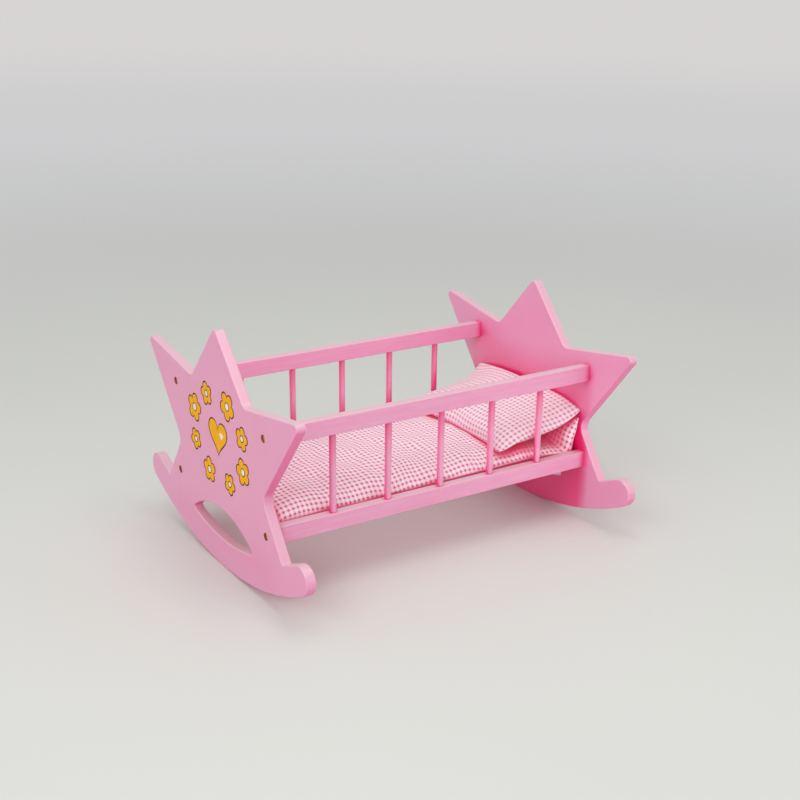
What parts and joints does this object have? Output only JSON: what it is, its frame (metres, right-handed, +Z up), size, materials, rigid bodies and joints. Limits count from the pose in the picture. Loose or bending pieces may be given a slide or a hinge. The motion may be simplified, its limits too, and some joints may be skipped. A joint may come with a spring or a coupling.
{
  "type": "doll's rocking cradle",
  "caption": "Painted wooden doll's cradle on curved rockers, with star-shaped end panels, spindle sides, a quilt and a pillow.",
  "frame": {"origin": "on the floor under the middle of the bed, where the rockers' lowest line is", "axes": "+X along the bed towards the head end, +Y across it towards the far side, +Z up"},
  "size_m": [0.464, 0.412, 0.2921],
  "materials": {
    "painted_panel": "satin pink paint on board",
    "painted_rail": "satin pink paint on wood",
    "painted_dowel": "satin pink paint on dowel",
    "painted_base": "satin pink paint on thin sheet",
    "screw": "yellow plated",
    "quilt_cotton": "woven gingham, pink and white",
    "pillow_cotton": "woven gingham, pink and white"
  },
  "bodies": {
    "frame": {"base_board": "painted_base", "far_bottom_rail": "painted_rail", "far_spindle_1": "painted_dowel", "far_spindle_2": "painted_dowel", "far_spindle_3": "painted_dowel", "far_spindle_4": "painted_dowel", "far_spindle_5": "painted_dowel", "far_top_rail": "painted_rail", "foot_screws": "screw", "footboard": "painted_panel", "head_screws": "screw", "headboard": "painted_panel", "near_bottom_rail": "painted_rail", "near_spindle_1": "painted_dowel", "near_spindle_2": "painted_dowel", "near_spindle_3": "painted_dowel", "near_spindle_4": "painted_dowel", "near_spindle_5": "painted_dowel", "near_top_rail": "painted_rail"},
    "quilt": {"quilt": "quilt_cotton"},
    "pillow": {"pillow": "pillow_cotton"}
  },
  "joints": [
    {"name": "quilt_lift", "type": "slide", "parent": "frame", "child": "quilt", "axis": [0, 0, 1], "range_m": [0, 0.22]},
    {"name": "pillow_lift", "type": "slide", "parent": "quilt", "child": "pillow", "axis": [0, 0, 1], "range_m": [0, 0.2]}
  ]
}
